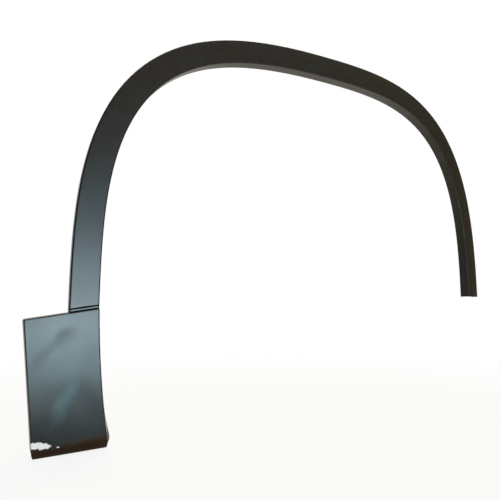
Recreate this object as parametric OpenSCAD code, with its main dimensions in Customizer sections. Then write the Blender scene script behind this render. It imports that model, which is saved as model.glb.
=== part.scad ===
// Wheel arch trim: one moulded strip around a wheel opening, with a block at its rear foot.
// X runs to the front of the vehicle, Y runs in from its side and Z runs up.
// The shape is worked out about the hub, and moved at the end so that the middle of the
// two foot screws is the origin.

/* [Wheel opening] */
// Width of the wheel opening at hub height
opening_w = 790; // [740:5:840]
// Height of the opening above the hub
crown_h = 422; // [390:1:450]
// Squareness of the opening, where 2 is an ellipse
squareness = 3.2; // [2.6:0.1:3.8]
// Height above the hub at which the front end is cut
front_end_z = 37; // [10:1:90]

/* [Arch band] */
// Width of the band where it meets the block
band_rear_w = 39.5; // [34:0.5:46]
// Width of the band at the crown
band_crown_w = 40; // [34:0.5:46]
// Width of the band at the front end
band_front_w = 44; // [36:0.5:48]
// Thickness of the face
face_t = 2.8; // [2.4:0.1:3.4]
// Rise of the face between its two edges
face_rise = 0.4; // [0:0.1:1]
// Radius of the edge round the wheel opening
inner_edge_r = 2; // [1.6:0.1:3]
// Radius of the edge against the body panel
outer_edge_r = 2.6; // [1.8:0.1:4]

/* [Returns] */
// Depth of the flange round the wheel opening
flange_d = 23; // [18:0.5:26]
// Thickness of that flange
flange_t = 2.4; // [2:0.1:3]
// How far that flange leans away from the wheel
flange_lean = 1.4; // [0:0.1:2.5]
// Depth of the lip that lands on the body panel
lip_d = 14.5; // [13:0.5:17]
// Thickness of the lip
lip_t = 2.2; // [1.8:0.1:3]
// Radius inside the roots of the returns
root_r = 1.4; // [0.6:0.1:2]

/* [Body surface] */
// Point ahead of which the body side turns in
turn_start_x = -95; // [-150:5:0]
// Radius of that turn, seen from above
turn_r = 1500; // [1300:20:2600]
// Radius of the body side, seen from the front
side_r = 7400; // [5000:100:12000]

/* [Rear block] */
// Height of the block's top above the hub, at the wheel opening
block_top_z = 8; // [0:1:30]
// Height of the block along the wheel opening
block_h = 187; // [160:1:205]
// Width of the block at its top
block_top_w = 95.5; // [80:0.5:110]
// Width of the block at its foot
block_foot_w = 95.5; // [80:0.5:110]
// Slope of the block's top edge, in degrees
block_top_slope = 9; // [0:0.5:10]
// Slope of the block's foot, in degrees
block_foot_slope = 3.5; // [0:0.5:5]
// Depth of the block's walls
block_d = 36; // [32:0.5:44]
// Thickness of the block's walls
block_t = 2.6; // [2.2:0.1:3.2]
// Radius of the block's front edges
block_edge_r = 2.2; // [1.6:0.1:3]
// Height over which the foot rolls under
foot_h = 13; // [9:0.5:16]
// Depth to which the foot rolls under
foot_d = 11; // [8:0.5:14]
// Flare of the wall round the wheel at the foot, in degrees
side_flare = 15; // [0:1:20]
// Height at which the edge round the wheel starts to run in
toe_start_z = 50; // [20:1:70]
// Radius of that edge as it runs in
toe_r = 1380; // [800:10:2000]

/* [Shut grooves] */
// Width of each groove
groove_w = 2; // [1:0.1:2.4]
// Depth of each groove
groove_d = 1.5; // [0.8:0.1:1.6]
// Distance between the two grooves
groove_gap = 4; // [3:0.5:8]

/* [Clip seats] */
// Number of seats along the band
seat_count = 9; // [5:1:11]
// Width of a seat across the band
seat_w = 18; // [16:0.5:20]
// Length of a seat along the band
seat_l = 20; // [18:0.5:26]
// Wall of a seat
seat_t = 1.8; // [1.5:0.1:2.2]
// Width of the slot that the clip's neck slides into
slot_w = 7.5; // [6:0.1:8]
// How far a seat's top lies under the edge of the lip
seat_under = 1; // [0.5:0.1:2]

/* [Ribs] */
// Thickness of the ribs
rib_t = 1.6; // [1.2:0.1:2]
// Height of the block's ribs behind its face
block_rib_h = 12; // [8:0.5:16]
// Height of the band's ribs at the flange, as a share of the flange's depth
flange_rib_share = 0.6; // [0.4:0.05:0.8]
// Distance of a rib from the middle between two seats, as a share of their pitch
rib_spread = 0.17; // [0.1:0.01:0.24]

/* [Screw holes] */
// Diameter of the screw holes
screw_d = 6.2; // [5:0.1:7]
// Diameter of the boss round a screw hole
boss_d = 14; // [12:0.5:15]
// Thickness of the wall with its boss
boss_h = 6; // [5:0.5:8]
// Distance between the foot screws
foot_screw_gap = 46; // [36:1:56]
// Distance between the liner screws
liner_screw_gap = 60; // [50:1:70]
// Height of the lower liner screw above the block
liner_screw_rise = 28; // [24:1:40]

/* [Screw posts] */
// Diameter of the posts in the block
post_d = 10; // [8:0.5:12]
// Diameter of the pilot hole in a post
pilot_d = 4.2; // [3:0.1:5]
// Depth of the pilot hole
pilot_l = 24; // [12:1:26]
// Height of the lower post, as a share of the block's height
post_low = 0.3; // [0.25:0.05:0.4]
// Height of the upper post, as a share of the block's height
post_high = 0.7; // [0.6:0.05:0.75]
// How far the posts end under the rim of the block
post_under = 2; // [1:0.5:4]

/* [Hidden] */
$fn = 48;
half_w = opening_w / 2;
trim_colour = "#1c1c1e";

// Steps along the band, round an edge, across the face, round the foot and down the block
band_steps = 116;
edge_steps = 3;
face_steps = 4;
foot_steps = 7;
block_steps = 8;

// The band runs this far into the block, this much inside its skin
tongue_l = 7;
tongue_in = 1.3;

// Height over which the band turns square to the block's top
square_up_h = 45;

// Floor under a clip seat's pocket, and how far the front wall lies inside the end
seat_floor = 0.5;
end_wall_in = 0.5;

// How far inside the block's skin its ribs end
rib_in = 0.8;

// The least radius inside the block, the land round a boss and the reach of a cut past its wall
least_r = 0.6;
boss_land = 1;
cut_reach = 5;

// The body side, as a depth in from the flat plane through the hub's side of the trim
function depth(x, z) =
    pow(max(0, x - turn_start_x), 2) / (2 * turn_r) + sign(z) * z * z / (2 * side_r);
function depth_slope(x, z) = [max(0, x - turn_start_x) / turn_r, abs(z) / side_r];
function mix(a, b, q) = a + (b - a) * q;

// The edge of the wheel opening at an angle about the hub, and the way out from it
function opening_pt(a) = [cos(a), sin(a)] /
    pow(pow(abs(cos(a)) / half_w, squareness) + pow(abs(sin(a)) / crown_h, squareness), 1 / squareness);
function opening_out(a) = let (p = opening_pt(a),
    g = [sign(p.x) * pow(abs(p.x) / half_w, squareness - 1) / half_w,
         sign(p.y) * pow(abs(p.y) / crown_h, squareness - 1) / crown_h]) g / norm(g);
rear_a = 180 - atan(block_top_z / half_w);
front_a = atan(front_end_z / half_w);
function band_w(a) = a > 90 ? mix(band_crown_w, band_rear_w, (a - 90) / (rear_a - 90))
                            : mix(band_crown_w, band_front_w, (90 - a) / (90 - front_a));

// The section of the band as two skins, each a list of [distance from the opening, depth]
function arc_pts(c, r, from, to, steps) =
    [for (k = [0:steps]) let (b = mix(from, to, k / steps)) c + r * [cos(b), sin(b)]];
function across(w, v, from, to) = [for (k = [1:face_steps - 1]) [mix(from, w - to, k / face_steps), v]];
function outer_skin(w, in = 0) = concat(
    [[flange_lean + in, flange_d]],
    arc_pts([inner_edge_r, inner_edge_r], inner_edge_r - in, 180, 270, edge_steps),
    across(w, in, inner_edge_r, outer_edge_r),
    arc_pts([w - outer_edge_r, outer_edge_r], outer_edge_r - in, 270, 360, edge_steps),
    [[w - in, lip_d]]);
function back_skin(w) = concat(
    [[flange_lean + flange_t, flange_d]],
    arc_pts([flange_t + root_r, face_t + root_r], root_r, 180, 270, edge_steps),
    across(w, face_t, flange_t + root_r, lip_t + root_r),
    arc_pts([w - lip_t - root_r, face_t + root_r], root_r, 270, 360, edge_steps),
    [[w - lip_t, lip_d]]);
function rise(q) = face_rise * (1 - pow(2 * q - 1, 2));
function on_side(p, dir, w, uv) = let (m = p + dir * uv[0])
    [m.x, depth(m.x, m.y) + uv[1] - rise(uv[0] / w), m.y];

// Stations along the band: edge point, way across and width. Near the block they lean to its top.
function turned(d, b) = [d.x * cos(b) - d.y * sin(b), d.x * sin(b) + d.y * cos(b)];
function lean_at(a) = a < 90 ? 0
    : block_top_slope * max(0, 1 - (opening_pt(a).y - block_top_z) / square_up_h);
function band_station(a) = let (b = lean_at(a))
    [opening_pt(a), turned(opening_out(a), b), band_w(a) / cos(b)];
junction = band_station(rear_a);
function below_junction(l) = [junction[0] - [0, l], junction[1], junction[2]];
function ring(s, in = 0) = concat(
    [for (uv = outer_skin(s[2], in)) on_side(s[0], s[1], s[2], uv)],
    [for (uv = back_skin(s[2])) on_side(s[0], s[1], s[2], uv)]);

// A closed thin sweep through rings that hold an outer skin and then a back skin
module skin_sweep(rings) {
    n = len(rings[0]) / 2;
    last = (len(rings) - 1) * 2 * n;
    along = [for (i = [0:len(rings) - 2], k = [0:n - 2], f = [0, 1])
        let (o = i * 2 * n + k, b = o + n, u = 2 * n)
        each (f == 0 ? [[o, o + 1, o + u], [o + 1, o + u + 1, o + u]]
                     : [[b, b + u, b + 1], [b + 1, b + u, b + u + 1]])];
    rims = [for (i = [0:len(rings) - 2], k = [0, n - 1])
        let (o = i * 2 * n + k, b = o + n, u = 2 * n)
        each (k == 0 ? [[o, o + u, b], [b, o + u, b + u]] : [[o, b, o + u], [b, b + u, o + u]])];
    ends = [for (k = [0:n - 2], e = [0, last])
        let (o = e + k, b = o + n)
        each (e == 0 ? [[o, b, o + 1], [o + 1, b, b + 1]] : [[o, o + 1, b], [o + 1, b + 1, b]])];
    polyhedron([for (r = rings) each r], concat(along, rims, ends));
}

module band() {
    skin_sweep(concat(
        [ring(below_junction(tongue_l), tongue_in), ring(below_junction(groove_w / 2), tongue_in)],
        [for (i = [0:band_steps]) ring(band_station(mix(rear_a, front_a, i / band_steps)))]));
}

// The block's corners. Its front edge follows the opening and its rear edge is straight.
function toe_x(z) = -half_w + pow(max(0, toe_start_z - z), 2) / (2 * toe_r);
block_foot_z = block_top_z - block_h;
function block_front(q) = let (z = mix(block_foot_z, block_top_z, q)) [toe_x(z), z];
foot_rear = block_front(0) - block_foot_w * [1, tan(block_foot_slope)];
top_rear = block_front(1) - block_top_w * [1, tan(block_top_slope)];
function block_pt(s, t) = let (q = t / block_h)
    mix(block_front(q), mix(foot_rear, top_rear, q), s / block_top_w);

// Distances at which the block's grid is cut, with close steps round each rolled edge
function rolled(r, steps) = [for (k = [0:steps]) r * (1 - cos(90 * k / steps))];
function cuts(l, near, far, near_steps, far_steps, steps) = concat(rolled(near, near_steps),
    [for (k = [1:steps - 1]) mix(near, l - far, k / steps)],
    [for (k = [far_steps:-1:0]) l - rolled(far, far_steps)[k]]);

// A point on the block's rolled face, set in by a wall. Corners are drawn in to a round form.
function roll_share(e, r) = max(0, min(1, 1 - e / r));
function block_skin(s, t, in, r, fh, fd) = let (
    l = block_top_w - 2 * in, h = block_h - 2 * in,
    rear = s > l / 2, top = t > h / 2,
    es = rear ? l - s : s, et = top ? h - t : t,
    rt = top ? r : fh, dt = top ? r : fd,
    a0 = roll_share(es, r), b0 = roll_share(et, rt),
    a = a0 * sqrt(1 - b0 * b0 / 2), b = b0 * sqrt(1 - a0 * a0 / 2),
    s1 = a0 > 0 ? (rear ? l - r * (1 - a) : r * (1 - a)) : s,
    t1 = b0 > 0 ? (top ? h - rt * (1 - b) : rt * (1 - b)) : t,
    q = a * a + b * b,
    drop = q > 0 ? (r * a * a + dt * b * b) / q * (1 - sqrt(max(0, 1 - q))) : 0,
    p = block_pt(in + s1, in + t1))
    [p.x, depth(p.x, p.y) + in + drop - rise((in + s1) / block_top_w), p.y];

// How far the block's walls move to the front with each step back, most at the foot
function flare(s, t) = tan(side_flare) * pow(1 - t / block_h, 2) * max(0, 1 - s / block_top_w);

// A closed solid behind that rolled face, back to a flat plane
module block_solid(in, r, fh, fd, back) {
    ss = cuts(block_top_w - 2 * in, r, r, edge_steps, edge_steps, face_steps);
    ts = cuts(block_h - 2 * in, fh, r, foot_steps, edge_steps, block_steps);
    m = len(ss);
    n = len(ts);
    front = [for (t = ts, s = ss) block_skin(s, t, in, r, fh, fd)];
    rear = [for (j = [0:n - 1], i = [0:m - 1]) let (p = front[j * m + i])
        [p.x + flare(ss[i], ts[j]) * (back - p.y), back, p.z]];
    total = m * n;
    quads = [for (j = [0:n - 2], i = [0:m - 2], f = [0, 1])
        let (o = f * total + j * m + i)
        each (f == 0 ? [[o, o + 1, o + m], [o + 1, o + m + 1, o + m]]
                     : [[o, o + m, o + 1], [o + 1, o + m, o + m + 1]])];
    rows = [for (i = [0:m - 2], e = [0, (n - 1) * m])
        let (o = e + i, b = o + total)
        each (e == 0 ? [[o, b, o + 1], [o + 1, b, b + 1]] : [[o, o + 1, b], [o + 1, b + 1, b]])];
    sides = [for (j = [0:n - 2], e = [0, m - 1])
        let (o = j * m + e, b = o + total)
        each (e == 0 ? [[o, o + m, b], [b, o + m, b + m]] : [[o, b, o + m], [b, b + m, o + m]])];
    polyhedron(concat(front, rear), concat(quads, rows, sides));
}

module block_shell() {
    difference() {
        block_solid(0, block_edge_r, foot_h, foot_d, block_d);
        block_solid(block_t, max(least_r, block_edge_r - block_t), foot_h - block_t, foot_d - block_t,
            block_d + cut_reach);
    }
}

// Places a flat profile across the band at an angle, drawn as [distance from the opening, depth]
module across_band(a, t, along = 0) {
    s = band_station(a);
    p = s[0];
    d = s[1];
    multmatrix([[d.x, 0, -d.y, p.x + along * d.y], [0, 1, 0, 0],
                [d.y, 0, d.x, p.y - along * d.x], [0, 0, 0, 1]])
        translate([0, 0, -t / 2]) linear_extrude(t) children();
}
// Depth of the face at a distance across the band
function face_at(s, u) = let (m = s[0] + s[1] * u) depth(m.x, m.y);

// A wall across the channel, from the flange to the lip
module channel_wall(a, t, flange_h, lip_h, along = 0) {
    s = band_station(a);
    u0 = flange_lean + flange_t / 2;
    u1 = s[2] - lip_t / 2;
    across_band(a, t, along) polygon([
        [flange_t / 2, face_at(s, 0) + face_t / 2], [u1, face_at(s, u1) + face_t / 2],
        [u1, face_at(s, u1) + lip_h], [u0, face_at(s, u0) + flange_h]]);
}

seat_pitch = (front_a - rear_a) / seat_count;
function seat_a(i) = rear_a + seat_pitch * i;
module band_ribs() {
    for (i = [1:seat_count - 1], side = [-1, 1])
        channel_wall(seat_a(i + side * rib_spread), rib_t, flange_d * flange_rib_share, lip_d - seat_under);
}
module front_wall() {
    channel_wall(front_a, lip_t, flange_d - end_wall_in, lip_d - end_wall_in, -lip_t / 2 - end_wall_in);
}

// A clip seat: a small tower with a pocket that is open to one side, and a slot in its top
module clip_seat() {
    top = lip_d - seat_under;
    difference() {
        translate([-seat_w / 2, -seat_l / 2, face_t / 2]) cube([seat_w, seat_l, top - face_t / 2]);
        translate([-seat_w / 2 + seat_t, -seat_l / 2 + seat_t, face_t + seat_floor])
            cube([seat_w - 2 * seat_t, seat_l, top - seat_t - face_t - seat_floor]);
        translate([-slot_w / 2, 0, top - 2 * seat_t]) cube([slot_w, seat_l, 3 * seat_t]);
        translate([0, 0, top - 2 * seat_t]) cylinder(d = slot_w, h = 3 * seat_t);
    }
}
module clip_seats() {
    for (i = [0:seat_count - 1]) {
        s = band_station(seat_a(i + 0.5));
        m = s[0] + s[1] * s[2] / 2;
        g = depth_slope(m.x, m.y);
        out = [s[1].x, s[1] * g, s[1].y];
        c1 = out / norm(out);
        in = [-g.x, 1, -g.y];
        c3 = in / norm(in);
        c2 = cross(c3, c1);
        multmatrix([[c1.x, c2.x, c3.x, m.x], [c1.y, c2.y, c3.y, depth(m.x, m.y)],
                    [c1.z, c2.z, c3.z, m.y], [0, 0, 0, 1]]) clip_seat();
    }
}

// The liner screws go through the flange above the block, from the wheel's side
function opening_x(z) = -half_w * pow(1 - pow(z / crown_h, squareness), 1 / squareness);
liner_z = [block_top_z + liner_screw_rise, block_top_z + liner_screw_rise + liner_screw_gap];
liner_y = flange_d - boss_d / 2 - boss_land;
liner_pad_x = opening_x(liner_z[0]) - boss_h;
module liner_bosses() {
    for (z = liner_z)
        translate([liner_pad_x, liner_y, z]) rotate([0, 90, 0])
            cylinder(d = boss_d,
                h = opening_x(z) - flange_lean * liner_y / flange_d - flange_t / 2 - liner_pad_x);
}
module liner_holes() {
    for (z = liner_z)
        translate([liner_pad_x - cut_reach, liner_y, z]) rotate([0, 90, 0])
            cylinder(d = screw_d, h = boss_h + 3 * cut_reach);
}

// The foot screws go up through the block's bottom wall
foot_x = block_front(0).x - block_foot_w / 2;
foot_y = (foot_d + block_d) / 2;
foot_pad_z = block_foot_z + boss_h;
function foot_z(x) = block_foot_z - (block_front(0).x - x) * tan(block_foot_slope);
module foot_bosses() {
    for (x = [foot_x - foot_screw_gap / 2, foot_x + foot_screw_gap / 2])
        translate([x, foot_y, foot_z(x) + block_t / 2])
            cylinder(d = boss_d, h = foot_pad_z - foot_z(x) - block_t / 2);
}
module foot_holes() {
    for (x = [foot_x - foot_screw_gap / 2, foot_x + foot_screw_gap / 2])
        translate([x, foot_y, foot_z(x) - cut_reach])
            cylinder(d = screw_d, h = foot_pad_z - foot_z(x) + 2 * cut_reach);
}

// Two posts in the block take self-tapping screws from behind, and carry its ribs
post_x = block_pt(block_top_w / 2, block_h * (post_high + post_low) / 2).x;
post_z = [for (share = [post_low, post_high]) block_foot_z + block_h * share];
post_top_y = block_d - post_under;
function rear_x(z) = mix(foot_rear.x, top_rear.x, (z - foot_rear.y) / (top_rear.y - foot_rear.y));
module posts() {
    for (z = post_z)
        translate([post_x, block_t / 2 + depth(post_x, z), z]) rotate([-90, 0, 0])
            cylinder(d = post_d, h = post_top_y - block_t / 2 - depth(post_x, z));
}
module post_holes() {
    for (z = post_z)
        translate([post_x, post_top_y - pilot_l, z]) rotate([-90, 0, 0])
            cylinder(d = pilot_d, h = pilot_l + cut_reach);
}
module block_ribs() {
    for (z = concat(post_z, [mix(post_z[0], post_z[1], 0.5)])) {
        y = depth(post_x, z);
        front = toe_x(z) - rib_in;
        rear = rear_x(z) + rib_in;
        translate([rear, y + block_t / 2, z - rib_t / 2])
            cube([front - rear, block_rib_h - block_t / 2, rib_t]);
    }
    low = block_foot_z + foot_h;
    high = block_top_z - (block_front(1).x - post_x) * tan(block_top_slope) - block_t / 2;
    translate([post_x - rib_t / 2, 0, 0]) rotate([90, 0, 90]) linear_extrude(rib_t)
        polygon(concat([for (k = [0:block_steps]) let (z = mix(low, high, k / block_steps))
                [depth(post_x, z) + block_t / 2, z]], [[block_rib_h, high], [block_rib_h, low]]));
}

// Two V grooves across the band where the block begins
module grooves() {
    p = junction[0];
    half = groove_w / 2 * (1 + cut_reach / groove_d);
    for (k = [0, 1])
        translate([p.x, depth(p.x, p.y), p.y + k * groove_gap]) rotate([0, -block_top_slope, 0])
            translate([-junction[2] - cut_reach, 0, 0]) rotate([90, 0, 90])
                linear_extrude(junction[2] + 2 * cut_reach)
                    polygon([[groove_d, 0], [-cut_reach, half], [-cut_reach, -half]]);
}

module arch_trim() color(trim_colour) translate(-[foot_x, foot_y, foot_pad_z])
    difference() {
        union() {
            band();
            block_shell();
            band_ribs();
            front_wall();
            clip_seats();
            liner_bosses();
            foot_bosses();
            posts();
            block_ribs();
        }
        grooves();
        liner_holes();
        foot_holes();
        post_holes();
    }

arch_trim();
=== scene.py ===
import bpy
import math
from mathutils import Matrix, Vector


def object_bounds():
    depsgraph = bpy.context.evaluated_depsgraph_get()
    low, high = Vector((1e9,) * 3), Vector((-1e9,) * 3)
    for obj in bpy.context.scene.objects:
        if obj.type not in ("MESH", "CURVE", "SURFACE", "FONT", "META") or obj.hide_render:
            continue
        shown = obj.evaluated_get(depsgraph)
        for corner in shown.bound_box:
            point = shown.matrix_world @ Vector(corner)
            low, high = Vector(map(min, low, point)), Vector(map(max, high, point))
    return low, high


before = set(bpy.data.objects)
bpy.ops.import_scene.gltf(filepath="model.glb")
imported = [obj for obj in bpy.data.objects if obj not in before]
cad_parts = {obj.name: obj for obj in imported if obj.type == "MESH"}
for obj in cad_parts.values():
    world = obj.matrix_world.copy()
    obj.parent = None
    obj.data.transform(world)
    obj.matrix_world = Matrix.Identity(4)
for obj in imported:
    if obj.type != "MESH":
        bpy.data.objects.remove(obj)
cadBox = [list(corner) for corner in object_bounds()]
print("Loaded the frame:", sorted(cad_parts))

# Lengths are in metres. X runs to the front of the vehicle, Y in from its side and Z up.
mm = 0.001


# sRGB hex to the linear colour that a socket takes
def linearColour(hexCode):
    parts = [int(hexCode[i:i + 2], 16) / 255 for i in (1, 3, 5)]
    return [c / 12.92 if c <= 0.04045 else ((c + 0.055) / 1.055) ** 2.4 for c in parts] + [1.0]


# Adds a node. Each setting is a property of it, or an input that takes a link, a hex colour or a value.
def addNode(tree, kind, settings=None):
    node = tree.nodes.new(kind)
    for key, value in (settings or {}).items():
        if isinstance(key, str) and hasattr(node, key):
            setattr(node, key, value)
        elif isinstance(value, bpy.types.NodeSocket):
            tree.links.new(value, node.inputs[key])
        elif isinstance(value, str) and value.startswith("#"):
            node.inputs[key].default_value = linearColour(value)
        else:
            node.inputs[key].default_value = value
    return node


# Polypropylene, injection moulded in a fine-grained tool and left unpainted: a deep satin black
# that mirrors a window softly. A painted warm reflection browns it at the foot and thinly on the
# crown, a thin olive coat lies toward the front end of the band, patches of painted shade and
# painted sheen on the block darken and lighten what it mirrors, and a white painted glare lies on
# the bend of the foot.
# Places are in millimetres, as [X, Y, Z] about the foot screws. A pair of noise levels says where
# a pattern starts and where it is full.
plasticSettings = {
    "body": "#131314",
    "ior": 1.49,
    "roughness": 0.235,
    "roughnessSpread": 0.03,
    "smudgeSize": 60,
    "smudgeLevels": (0.2, 0.8),
    # Dust in the grain
    "dusty": "#222220",
    "dustSize": 18,
    "dustLevels": (0.45, 0.85),
    "dustShare": 0.5,
    # Relief of the skin
    "waveSize": 90,
    "waveHeight": 0.2,
    "peelSize": 9,
    "peelHeight": 0.016,
    "grainSize": 0.9,            # the real grain is 0.2 mm, too fine for the picture
    "grainHeight": 0.012,
    # How far a face looks out or down, where it starts to take the painted warm reflection and where
    # it takes it in full, and the same for the patches of painted shade and sheen and the painted glare,
    # which lie on the skin alone
    "outsideFrom": -0.3,
    "outsideTo": 0.1,
    "skinFrom": 0.1,
    "skinTo": 0.5,
    # Painted warm reflection, brown laid on the foot and crown in place of a warm mirrored surface: its two
    # browns, and how much of the mirror it leaves
    "paintedWarmReflection": ("#281d13", "#2b1810"),
    "paintedWarmSize": 11,
    "paintedWarmLevels": (0.4, 0.65),
    "paintedWarmReflectionTint": "#86604a",
    "paintedWarmRoughness": 0.5,
    # It covers the foot up to a ragged line that climbs to the front
    "footFrom": 0,
    "footTo": 14,
    "footSlope": 0.16,
    "footRagged": 8,
    "footEdgeSize": 14,
    # It lies in blotches high on the band
    "blotchSize": 20,
    "mottleLevels": (0.4, 0.7),
    "mottleFrom": 300,
    "mottleTo": 500,
    "mottleShare": 0.3,
    # A thin olive coat grows along the band to its front end
    "coat": "#302e25",
    "coatLevels": (0.2, 0.5),
    "coatFrom": 350,
    "coatTo": 800,
    "coatShare": 0.62,
    # Painted shade: the mirror is dimmed toward the foot of the block up to this height, darker towards the
    # bottom
    "faintTo": 62,
    "faintShare": 0.46,
    # Patches of painted shade and painted sheen on the block: middle, half sizes, turn in degrees, how much
    # painted shade each lays on the mirror, and its painted sheen
    "paintedShadeAndSheenPatches": [
        ((-56, -24, 146), (34, 30, 50), 8, 0.13, 0.0),
        ((-15, -24, 143), (30, 30, 13), -36, 0.35, 0.0),
        ((-40, -24, 117), (30, 30, 12), -50, 0.22, 0.0),
        ((-24, -24, 118), (20, 30, 12), -35, 0.0, 0.12),
        ((-24, -24, 93), (50, 30, 16), -12, 0.0, 0.08),
        ((22, -24, 118), (26, 30, 34), 0, 0.13, 0.0),
        ((-12, -24, 60), (42, 30, 14), -66, 0.0, 0.46),
        ((26, -24, 60), (26, 30, 50), -32, 0.28, 0.0),
    ],
    # The painted sheen's teal, a painted reflection of the window
    "paintedSheen": "#3f5f65",
    # The ragged edge of the painted shade and sheen patches
    "paintedPatchEdge": {"ragged": 9, "size": 30, "detail": 2.0, "full": 0.0},
    # A painted glare on the bend of the foot, a white painted highlight: middle, half sizes, turn
    "paintedGlares": [
        ((-38.5, -25, 6.4), (15, 12, 4.6), 8),
        ((-45, -25, 7.2), (9, 12, 4.2), -10),
        ((-16.7, -25, 2.6), (2.2, 12, 0.9), 0),
    ],
    # The painted glare's white, its roughness and its ragged edge
    "paintedGlare": "#e6d9d4",
    "paintedGlareRoughness": 0.7,
    "paintedGlareEdge": {"ragged": 2.8, "size": 5, "detail": 3.0, "full": 0.72},
}


def makePlastic(s):
    material = bpy.data.materials.new("Polypropylene, moulded, satin black")
    material.use_nodes = True
    tree = material.node_tree
    tree.nodes.clear()
    coordinates = addNode(tree, "ShaderNodeTexCoord")
    place = coordinates.outputs["Object"]
    axes = addNode(tree, "ShaderNodeSeparateXYZ", {0: place})
    along, height = axes.outputs[0], axes.outputs[2]

    # A soft spot with a ragged edge: 1 inside the share of its half size that is full, 0 outside it
    def spot(middle, half, turn, edge):
        noise = addNode(tree, "ShaderNodeTexNoise", {
            "Scale": 1 / (edge["size"] * mm), "Detail": edge["detail"], "Vector": place})
        shift = addNode(tree, "ShaderNodeVectorMath", {
            "operation": "SUBTRACT", 0: noise.outputs[1], 1: (0.5, 0.5, 0.5)})
        reach = 2 * edge["ragged"] * mm
        moved = addNode(tree, "ShaderNodeVectorMath", {
            "operation": "MULTIPLY_ADD", 0: shift.outputs[0], 1: (reach, 0, reach), 2: place})
        local = addNode(tree, "ShaderNodeMapping", {
            "vector_type": "TEXTURE", "Vector": moved.outputs[0], "Location": [c * mm for c in middle],
            "Rotation": (0, math.radians(turn), 0), "Scale": [c * mm for c in half]})
        distance = addNode(tree, "ShaderNodeVectorMath", {"operation": "LENGTH", 0: local.outputs[0]})
        return addNode(tree, "ShaderNodeMapRange", {
            "interpolation_type": "SMOOTHSTEP", "Value": distance.outputs["Value"],
            "From Min": 1.0, "From Max": edge["full"]}).outputs[0]

    # Which faces look out or down
    outward = addNode(tree, "ShaderNodeVectorMath", {
        "operation": "DOT_PRODUCT", 0: coordinates.outputs["Normal"], 1: (0, -1, -1)}).outputs["Value"]
    outside = addNode(tree, "ShaderNodeMapRange", {
        "interpolation_type": "SMOOTHSTEP", "Value": outward,
        "From Min": s["outsideFrom"], "From Max": s["outsideTo"]}).outputs[0]
    skin = addNode(tree, "ShaderNodeMapRange", {
        "interpolation_type": "SMOOTHSTEP", "Value": outward,
        "From Min": s["skinFrom"], "From Max": s["skinTo"]}).outputs[0]

    # Gloss: slow smudges
    smudges = addNode(tree, "ShaderNodeTexNoise", {
        "Scale": 1 / (s["smudgeSize"] * mm), "Detail": 2.0, "Vector": place})
    gloss = addNode(tree, "ShaderNodeMapRange", {
        "interpolation_type": "SMOOTHSTEP", "Value": smudges.outputs[0],
        "From Min": s["smudgeLevels"][0], "From Max": s["smudgeLevels"][1],
        "To Min": s["roughness"] - s["roughnessSpread"],
        "To Max": s["roughness"] + s["roughnessSpread"]}).outputs[0]

    # Painted shade: how much the mirror is dimmed toward the foot and in patches; painted sheen: how much
    # lighter colour lies on it in patches
    paintedShadeAndCoat = addNode(tree, "ShaderNodeMapRange", {
        "interpolation_type": "SMOOTHSTEP", "Value": height, "From Min": s["faintTo"] * mm,
        "From Max": s["footFrom"] * mm, "To Max": s["faintShare"]}).outputs[0]
    paintedSheen = 0.0
    for middle, half, turn, paintedPatchShade, paintedPatchSheen in s["paintedShadeAndSheenPatches"]:
        paintedPatch = spot(middle, half, turn, s["paintedPatchEdge"])
        if paintedPatchShade:
            paintedShadeAndCoat = addNode(tree, "ShaderNodeMath", {
                "operation": "MULTIPLY_ADD", 0: paintedPatch, 1: paintedPatchShade, 2: paintedShadeAndCoat}).outputs[0]
        if paintedPatchSheen:
            paintedSheen = addNode(tree, "ShaderNodeMath", {
                "operation": "MULTIPLY_ADD", 0: paintedPatch, 1: paintedPatchSheen, 2: paintedSheen}).outputs[0]
    paintedShadeAndCoat = addNode(tree, "ShaderNodeMath", {"operation": "MULTIPLY", 0: paintedShadeAndCoat, 1: skin}).outputs[0]
    paintedSheen = addNode(tree, "ShaderNodeMath", {"operation": "MULTIPLY", 0: paintedSheen, 1: skin}).outputs[0]

    # Painted warm reflection on the foot, up to its ragged line
    edge = addNode(tree, "ShaderNodeTexNoise", {
        "Scale": 1 / (s["footEdgeSize"] * mm), "Detail": 3.0, "Vector": place})
    ragged = addNode(tree, "ShaderNodeMath", {
        "operation": "MULTIPLY_ADD", 0: edge.outputs[0], 1: 2 * s["footRagged"] * mm, 2: height})
    sloped = addNode(tree, "ShaderNodeMath", {
        "operation": "MULTIPLY_ADD", 0: along, 1: -s["footSlope"], 2: ragged.outputs[0]})
    foot = addNode(tree, "ShaderNodeMapRange", {
        "interpolation_type": "SMOOTHSTEP", "Value": sloped.outputs[0],
        "From Min": (s["footTo"] + s["footRagged"]) * mm,
        "From Max": (s["footFrom"] + s["footRagged"]) * mm}).outputs[0]
    gloss = addNode(tree, "ShaderNodeMix", {0: foot, 2: gloss, 3: s["paintedWarmRoughness"]}).outputs[0]

    # Painted warm reflection in blotches high on the band, and the coat to its front end
    blotches = addNode(tree, "ShaderNodeTexNoise", {
        "Scale": 1 / (s["blotchSize"] * mm), "Detail": 3.0, "Vector": place})
    patches = {}
    for name, way in (("mottle", height), ("coat", along)):
        lowest, highest = s[name + "Levels"]
        pattern = addNode(tree, "ShaderNodeMapRange", {
            "interpolation_type": "SMOOTHSTEP", "Value": blotches.outputs[0],
            "From Min": lowest, "From Max": highest})
        share = addNode(tree, "ShaderNodeMapRange", {
            "interpolation_type": "SMOOTHSTEP", "Value": way, "From Min": s[name + "From"] * mm,
            "From Max": s[name + "To"] * mm, "To Max": s[name + "Share"]})
        patches[name] = addNode(tree, "ShaderNodeMath", {
            "operation": "MULTIPLY", 0: pattern.outputs[0], 1: share.outputs[0]}).outputs[0]
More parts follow.
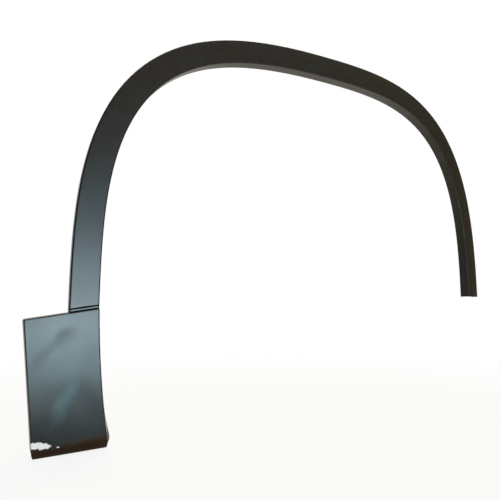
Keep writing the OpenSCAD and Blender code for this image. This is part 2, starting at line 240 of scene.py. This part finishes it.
    # Where the painted warm reflection lies: on the foot and in the blotches, on faces that look out or
    # down
    paintedWarmReflection = addNode(tree, "ShaderNodeMath", {"operation": "MAXIMUM", 0: foot, 1: patches["mottle"]})
    paintedWarmReflection = addNode(tree, "ShaderNodeMath", {
        "operation": "MULTIPLY", 0: paintedWarmReflection.outputs[0], 1: outside}).outputs[0]
    coat = addNode(tree, "ShaderNodeMath", {
        "operation": "MULTIPLY", 0: patches["coat"], 1: outside}).outputs[0]
    paintedShadeAndCoat = addNode(tree, "ShaderNodeMath", {"operation": "ADD", 0: paintedShadeAndCoat, 1: coat}).outputs[0]

    # Painted glare: a white painted highlight on the bend of the foot, rougher than the skin
    paintedGlare = 0.0
    for middle, half, turn in s["paintedGlares"]:
        paintedGlare = addNode(tree, "ShaderNodeMath", {
            "operation": "MAXIMUM", 0: paintedGlare, 1: spot(middle, half, turn, s["paintedGlareEdge"])}).outputs[0]
    paintedGlare = addNode(tree, "ShaderNodeMath", {"operation": "MULTIPLY", 0: paintedGlare, 1: skin}).outputs[0]
    gloss = addNode(tree, "ShaderNodeMix", {0: paintedGlare, 2: gloss, 3: s["paintedGlareRoughness"]}).outputs[0]

    # The plastic's colour, its dust and coat, and the painted sheen, painted warm reflection and painted
    # glare laid on it
    grime = addNode(tree, "ShaderNodeTexNoise", {
        "Scale": 1 / (s["dustSize"] * mm), "Detail": 6.0, "Roughness": 0.6, "Vector": place})
    dust = addNode(tree, "ShaderNodeMapRange", {
        "interpolation_type": "SMOOTHSTEP", "Value": grime.outputs[0],
        "From Min": s["dustLevels"][0], "From Max": s["dustLevels"][1], "To Max": s["dustShare"]})
    browns = addNode(tree, "ShaderNodeTexNoise", {
        "Scale": 1 / (s["paintedWarmSize"] * mm), "Detail": 3.0, "Vector": place})
    brown = addNode(tree, "ShaderNodeMapRange", {
        "interpolation_type": "SMOOTHSTEP", "Value": browns.outputs[0],
        "From Min": s["paintedWarmLevels"][0], "From Max": s["paintedWarmLevels"][1]})
    paintedWarmColour = addNode(tree, "ShaderNodeMix", {
        "data_type": "RGBA", 0: brown.outputs[0], 6: s["paintedWarmReflection"][0], 7: s["paintedWarmReflection"][1]}).outputs[2]
    colour = s["body"]
    for share, layer in ((dust.outputs[0], s["dusty"]), (coat, s["coat"]), (paintedSheen, s["paintedSheen"]),
                         (paintedWarmReflection, paintedWarmColour), (paintedGlare, s["paintedGlare"])):
        colour = addNode(tree, "ShaderNodeMix", {
            "data_type": "RGBA", 0: share, 6: colour, 7: layer}).outputs[2]

    # How much of the mirror is left: painted shade takes it toward black, the painted warm reflection tints
    # it brown, and the painted glare brings it back to full
    tint = "#ffffff"
    for share, layer in ((paintedShadeAndCoat, "#000000"), (paintedWarmReflection, s["paintedWarmReflectionTint"]), (paintedGlare, "#ffffff")):
        tint = addNode(tree, "ShaderNodeMix", {
            "data_type": "RGBA", 0: share, 6: tint, 7: layer}).outputs[2]

    # Waves from cooling, then orange peel, then the grain of the tool
    normal = None
    for name, detail in (("wave", 1.0), ("peel", 2.0), ("grain", 2.0)):
        noise = addNode(tree, "ShaderNodeTexNoise", {
            "Scale": 1 / (s[name + "Size"] * mm), "Detail": detail, "Vector": place})
        bump = addNode(tree, "ShaderNodeBump", {
            "Distance": s[name + "Height"] * mm, "Height": noise.outputs[0]})
        if normal:
            tree.links.new(normal, bump.inputs["Normal"])
        normal = bump.outputs[0]

    shader = addNode(tree, "ShaderNodeBsdfPrincipled", {
        "IOR": s["ior"], "Base Color": colour, "Roughness": gloss, "Specular Tint": tint, "Normal": normal})
    addNode(tree, "ShaderNodeOutputMaterial", {"Surface": shader.outputs[0]})
    return material


plastic = makePlastic(plasticSettings)

# The trim keeps its CAD mesh, welded and shaded smooth up to its true edges
edgeSettings = {"weld": 0.005 * mm, "sharpAngle": math.radians(42)}


def smoothUpToEdges(piece, s):
    weld = piece.modifiers.new("weld", "WELD")
    weld.merge_threshold = s["weld"]
    group = bpy.data.node_groups.new("smoothUpToEdges", "GeometryNodeTree")
    group.interface.new_socket("Geometry", in_out="INPUT", socket_type="NodeSocketGeometry")
    group.interface.new_socket("Geometry", in_out="OUTPUT", socket_type="NodeSocketGeometry")
    mesh = addNode(group, "NodeGroupInput").outputs[0]
    plain = addNode(group, "GeometryNodeRemoveAttribute", {"Geometry": mesh, "Name": "custom_normal"})
    angle = addNode(group, "GeometryNodeInputMeshEdgeAngle").outputs[0]
    smooth = addNode(group, "FunctionNodeCompare", {"operation": "LESS_THAN", 0: angle, 1: s["sharpAngle"]})
    faces = addNode(group, "GeometryNodeSetShadeSmooth", {
        "domain": "FACE", "Geometry": plain.outputs[0], "Shade Smooth": True})
    edges = addNode(group, "GeometryNodeSetShadeSmooth", {
        "domain": "EDGE", "Geometry": faces.outputs[0], "Shade Smooth": smooth.outputs[0]})
    addNode(group, "NodeGroupOutput", {0: edges.outputs[0]})
    piece.modifiers.new("smooth", "NODES").node_group = group
    normals = piece.modifiers.new("normals", "WEIGHTED_NORMAL")
    normals.keep_sharp = True


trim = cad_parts["arch_trim"]
smoothUpToEdges(trim, edgeSettings)
trim.data.materials.clear()
trim.data.materials.append(plastic)
print("Dressed the trim")

# The floor lies just under the foot. Its white is the colour that the camera sees, in full
# further out, so that it runs on into the paper behind it, and less near the trim, where the
# shadow falls.
floorSettings = {
    "size": 14.0,
    "gap": 0.2 * mm,
    "colour": "#f4f4f2",
    "middle": (0.35, 0.0),
    "nearShare": 0.88,
    "nearTo": 0.25,
    "farFrom": 1.5,
    "mirroredShare": 0.26,       # how much of that white the satin plastic mirrors
}


def makeFloor(s):
    lowest = cadBox[0][2]
    bpy.ops.mesh.primitive_plane_add(size=s["size"], location=(0, 0, lowest - s["gap"]))
    floor = bpy.context.object
    floor.name = "floor"
    material = bpy.data.materials.new("Paper, matt, white")
    material.use_nodes = True
    tree = material.node_tree
    tree.nodes.clear()
    place = addNode(tree, "ShaderNodeTexCoord").outputs["Object"]
    reach = addNode(tree, "ShaderNodeVectorMath", {
        "operation": "DISTANCE", 0: place, 1: (*s["middle"], 0)}).outputs["Value"]
    share = addNode(tree, "ShaderNodeMapRange", {
        "interpolation_type": "SMOOTHSTEP", "Value": reach, "From Min": s["nearTo"],
        "From Max": s["farFrom"], "To Min": s["nearShare"]}).outputs[0]
    path = addNode(tree, "ShaderNodeLightPath").outputs
    mirrored = addNode(tree, "ShaderNodeMath", {
        "operation": "MAXIMUM", 0: path["Is Glossy Ray"], 1: path["Is Transmission Ray"]}).outputs[0]
    dimmed = addNode(tree, "ShaderNodeMath", {
        "operation": "MULTIPLY", 0: mirrored, 1: s["mirroredShare"]}).outputs[0]
    seen = addNode(tree, "ShaderNodeMath", {
        "operation": "MAXIMUM", 0: path["Is Camera Ray"], 1: dimmed}).outputs[0]
    white = addNode(tree, "ShaderNodeMath", {"operation": "MULTIPLY", 0: seen, 1: share}).outputs[0]
    paper = addNode(tree, "ShaderNodeBsdfDiffuse", {"Color": s["colour"]}).outputs[0]
    plain = addNode(tree, "ShaderNodeEmission", {"Color": "#ffffff", "Strength": 1.0}).outputs[0]
    mixed = addNode(tree, "ShaderNodeMixShader", {0: white, 1: paper, 2: plain}).outputs[0]
    addNode(tree, "ShaderNodeOutputMaterial", {"Surface": mixed})
    floor.data.materials.append(material)


makeFloor(floorSettings)
print("Laid the floor")

# A white paper sweep stands behind the trim, and a dim warm room lies before it. Both its sides
# are darker, which keeps the front arm and the trim's edges black.
roomSettings = {
    # Place across, from the rear of the vehicle to its front, and colour there
    "stops": [(0.12, "#4c4339"), (0.3, "#857b6b"), (0.5, "#c3b8a2"), (0.70, "#c3b8a2"), (0.86, "#aba385"),
              (0.965, "#685846")],
    "strength": 1.0,
    "paperFrom": 0.6,
    "paperTo": 0.95,
    "mirroredShare": 0.5,        # how much of the white paper the satin plastic mirrors
}


def makeRoom(s):
    world = bpy.data.worlds.new("room")
    bpy.context.scene.world = world
    world.use_nodes = True
    tree = world.node_tree
    tree.nodes.clear()
    direction = addNode(tree, "ShaderNodeTexCoord").outputs["Generated"]
    axes = addNode(tree, "ShaderNodeSeparateXYZ", {0: direction}).outputs
    across = addNode(tree, "ShaderNodeMapRange", {"Value": axes[0], "From Min": -1.0, "From Max": 1.0})
    ramp = addNode(tree, "ShaderNodeValToRGB", {0: across.outputs[0]})
    band = ramp.color_ramp
    while len(band.elements) < len(s["stops"]):
        band.elements.new(0.5)
    for element, (place, hexCode) in zip(band.elements, s["stops"]):
        element.position = place
        element.color = linearColour(hexCode)
    behind = addNode(tree, "ShaderNodeMapRange", {
        "Value": axes[1], "From Min": s["paperFrom"], "From Max": s["paperTo"],
        "To Max": s["mirroredShare"]}).outputs[0]
    path = addNode(tree, "ShaderNodeLightPath").outputs
    mirrored = addNode(tree, "ShaderNodeMath", {
        "operation": "MAXIMUM", 0: path["Is Glossy Ray"], 1: path["Is Transmission Ray"]}).outputs[0]
    mirroredPaper = addNode(tree, "ShaderNodeMath", {
        "operation": "MULTIPLY", 0: mirrored, 1: behind}).outputs[0]
    seen = addNode(tree, "ShaderNodeMath", {
        "operation": "MAXIMUM", 0: path["Is Camera Ray"], 1: mirroredPaper}).outputs[0]
    room = addNode(tree, "ShaderNodeBackground", {"Color": ramp.outputs[0], "Strength": s["strength"]})
    paper = addNode(tree, "ShaderNodeBackground", {"Color": "#ffffff", "Strength": 1.0})
    mixed = addNode(tree, "ShaderNodeMixShader", {0: seen, 1: room.outputs[0], 2: paper.outputs[0]})
    addNode(tree, "ShaderNodeOutputWorld", {"Surface": mixed.outputs[0]})


makeRoom(roomSettings)
print("Set up the room")

# Lamps: a cool window before the block, brightest at its height, and a soft lamp behind that
# shows the ribs. A pane's height is its second size.
windowSettings = {
    "at": (0.03, -1.5),
    "width": 1.3,
    "panes": [      # middle's height, pane's height, radiance, colour
        (-0.12, 0.12, 3.2, "#b0fff8"),
        (0.00, 0.12, 16.3, "#bdf3ff"),
        (0.12, 0.12, 12.1, "#e1f0ff"),
        (0.24, 0.12, 6.8, "#d2f5ff"),
        (0.36, 0.12, 7.1, "#c7edff"),
        (0.48, 0.12, 3.0, "#d6edff"),
        (0.66, 0.24, 1.6, "#bcecff"),
        (0.96, 0.36, 0.3, "#b4e0ff"),
    ],
}
lampSettings = {
    "pane %d" % k: {"at": (*windowSettings["at"], z), "to": (windowSettings["at"][0], 0, z),
                    "size": (windowSettings["width"], height), "radiance": radiance, "colour": colour}
    for k, (z, height, radiance, colour) in enumerate(windowSettings["panes"])
}
lampSettings["back"] = {"at": (0.5, 1.4, 2.5), "to": (0.42, 0, 0.3), "size": (2.6, 1.2),
                        "radiance": 3.6, "colour": "#fff4e8"}


def addLamp(name, s):
    data = bpy.data.lights.new(name, "AREA")
    data.shape = "RECTANGLE"
    data.size, data.size_y = s["size"]
    data.energy = s["radiance"] * math.pi * data.size * data.size_y
    data.color = linearColour(s["colour"])[:3]
    lamp = bpy.data.objects.new(name, data)
    bpy.context.scene.collection.objects.link(lamp)
    lamp.location = s["at"]
    aim = Vector(s["to"]) - Vector(s["at"])
    lamp.rotation_euler = aim.to_track_quat("-Z", "Y").to_euler()
    lamp.visible_camera = False


for name, settings in lampSettings.items():
    addLamp(name, settings)
print("Lit the room")

# The photographer stands near the block, at its height, and looks to the right and up
cameraSettings = {
    "at": (-92.1 * mm, -753.4 * mm, 182.9 * mm),
    "pan": math.radians(-25.473),
    "pitch": math.radians(6.355),
    "roll": math.radians(0.391),
    "lens": 37.264,
    "sensor": 36.0,
}


def addCamera(s):
    data = bpy.data.cameras.new("camera")
    data.lens, data.sensor_width = s["lens"], s["sensor"]
    camera = bpy.data.objects.new("camera", data)
    bpy.context.scene.collection.objects.link(camera)
    turn = (Matrix.Rotation(s["pan"], 4, "Z") @ Matrix.Rotation(math.pi / 2 + s["pitch"], 4, "X")
            @ Matrix.Rotation(s["roll"], 4, "Z"))
    camera.matrix_world = Matrix.Translation(s["at"]) @ turn
    bpy.context.scene.camera = camera


addCamera(cameraSettings)
bpy.context.scene.view_settings.view_transform = "Standard"
print("Placed the camera")
